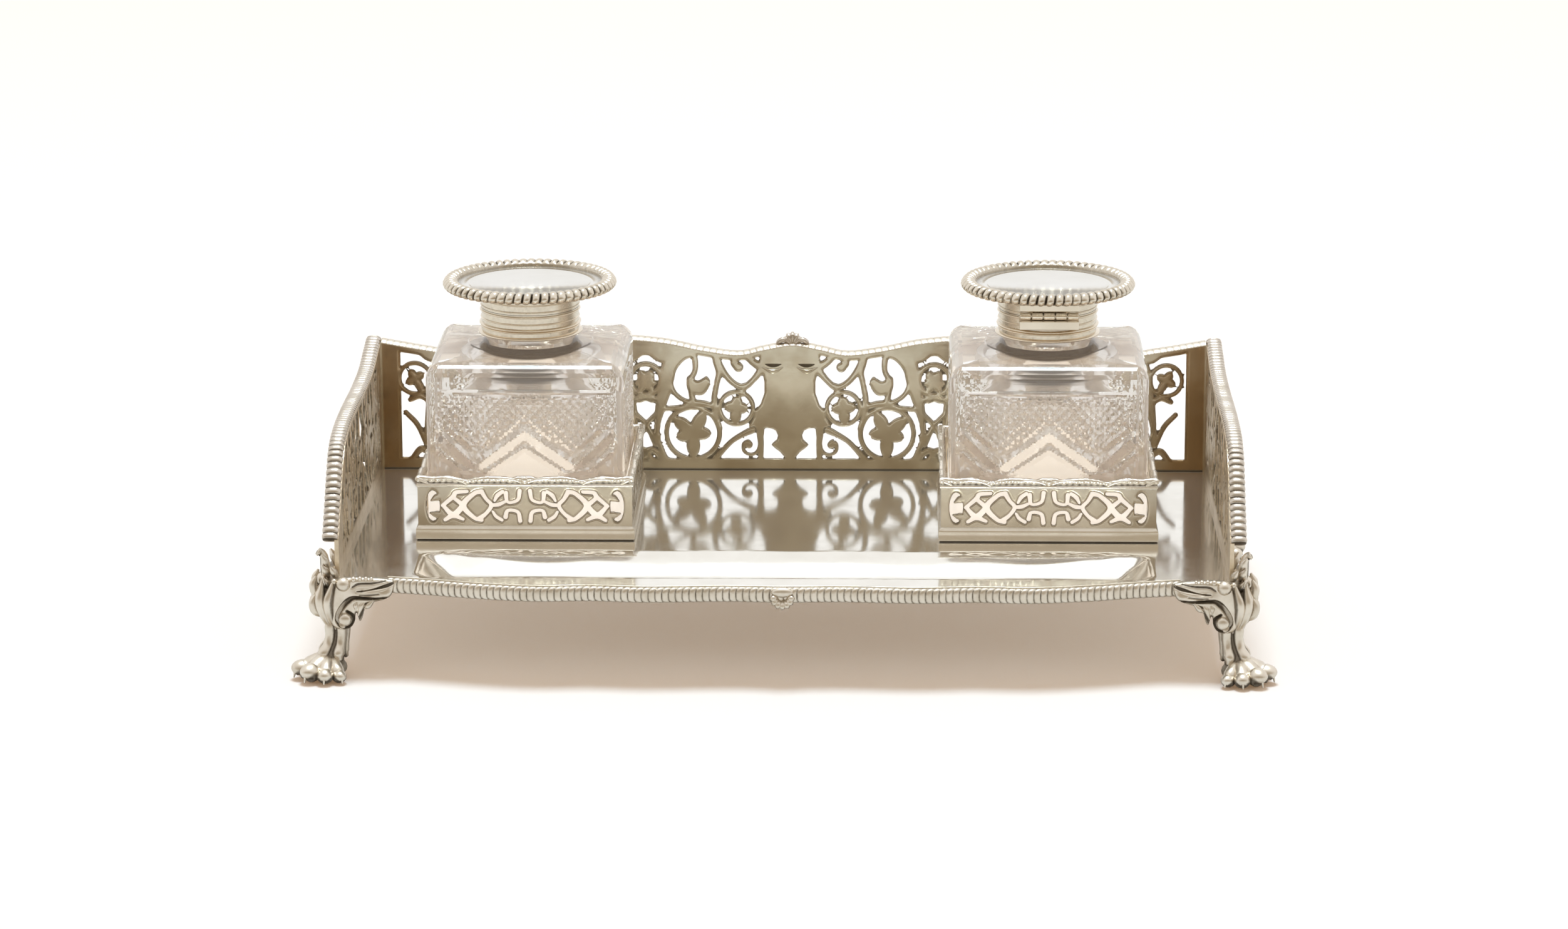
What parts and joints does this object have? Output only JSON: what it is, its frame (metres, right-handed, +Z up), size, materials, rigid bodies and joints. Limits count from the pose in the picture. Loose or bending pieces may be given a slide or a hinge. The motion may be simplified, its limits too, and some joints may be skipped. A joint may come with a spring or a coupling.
{
  "type": "desk inkstand",
  "caption": "Footed silver desk inkstand: tray with pen trough and pierced gallery, square cut-glass inkwells with hinged dished lids in pierced holders.",
  "frame": {"origin": "centre of the footprint, on the surface the feet stand on", "axes": "+X to the right along the front, +Y to the back gallery, +Z up"},
  "size_m": [0.302, 0.16, 0.109],
  "materials": {
    "tray_silver": "polished silver plate",
    "pierced_silver": "polished pierced sheet silver",
    "cast_silver": "cast silver, polished high points and dark recesses",
    "holder_silver": "polished pierced silver",
    "collar_silver": "polished turned silver",
    "lid_silver": "polished turned and gadrooned silver",
    "crystal": "clear cut lead crystal"
  },
  "bodies": {
    "tray": {"tray_plate": "tray_silver", "front_border": "cast_silver", "front_shell": "cast_silver", "back_gallery": "pierced_silver", "back_rail": "cast_silver", "back_crest": "cast_silver", "left_gallery": "pierced_silver", "left_rail": "cast_silver", "right_gallery": "pierced_silver", "right_rail": "cast_silver", "front_left_foot": "cast_silver", "front_right_foot": "cast_silver", "rear_left_foot": "cast_silver", "rear_right_foot": "cast_silver", "left_holder_base": "holder_silver", "left_holder_front_wall": "holder_silver", "left_holder_right_wall": "holder_silver", "left_holder_back_wall": "holder_silver", "left_holder_left_wall": "holder_silver", "left_holder_rim": "holder_silver", "right_holder_base": "holder_silver", "right_holder_front_wall": "holder_silver", "right_holder_right_wall": "holder_silver", "right_holder_back_wall": "holder_silver", "right_holder_left_wall": "holder_silver", "right_holder_rim": "holder_silver"},
    "left_inkwell": {"left_bottle": "crystal", "left_collar": "collar_silver", "left_collar_hinge": "collar_silver", "left_hinge_pin": "collar_silver"},
    "right_inkwell": {"right_bottle": "crystal", "right_collar": "collar_silver", "right_collar_hinge": "collar_silver", "right_hinge_pin": "collar_silver"},
    "left_lid": {"left_lid_cap": "lid_silver", "left_lid_dish": "lid_silver", "left_lid_rim": "lid_silver", "left_lid_hinge": "lid_silver"},
    "right_lid": {"right_lid_cap": "lid_silver", "right_lid_dish": "lid_silver", "right_lid_rim": "lid_silver", "right_lid_hinge": "lid_silver"}
  },
  "joints": [
    {"name": "left_inkwell_lift", "type": "slide", "parent": "tray", "child": "left_inkwell", "axis": [0, 0, 1], "range_m": [0, 0.06]},
    {"name": "left_lid_hinge", "type": "hinge", "parent": "left_inkwell", "child": "left_lid", "pos_m": [-0.082, 0.0278, 0.1], "axis": [-1, 0, 0], "range_deg": [0, 100]},
    {"name": "right_inkwell_lift", "type": "slide", "parent": "tray", "child": "right_inkwell", "axis": [0, 0, 1], "range_m": [0, 0.06]},
    {"name": "right_lid_hinge", "type": "hinge", "parent": "right_inkwell", "child": "right_lid", "pos_m": [0.082, -0.0062, 0.1], "axis": [1, 0, 0], "range_deg": [0, 100]}
  ]
}
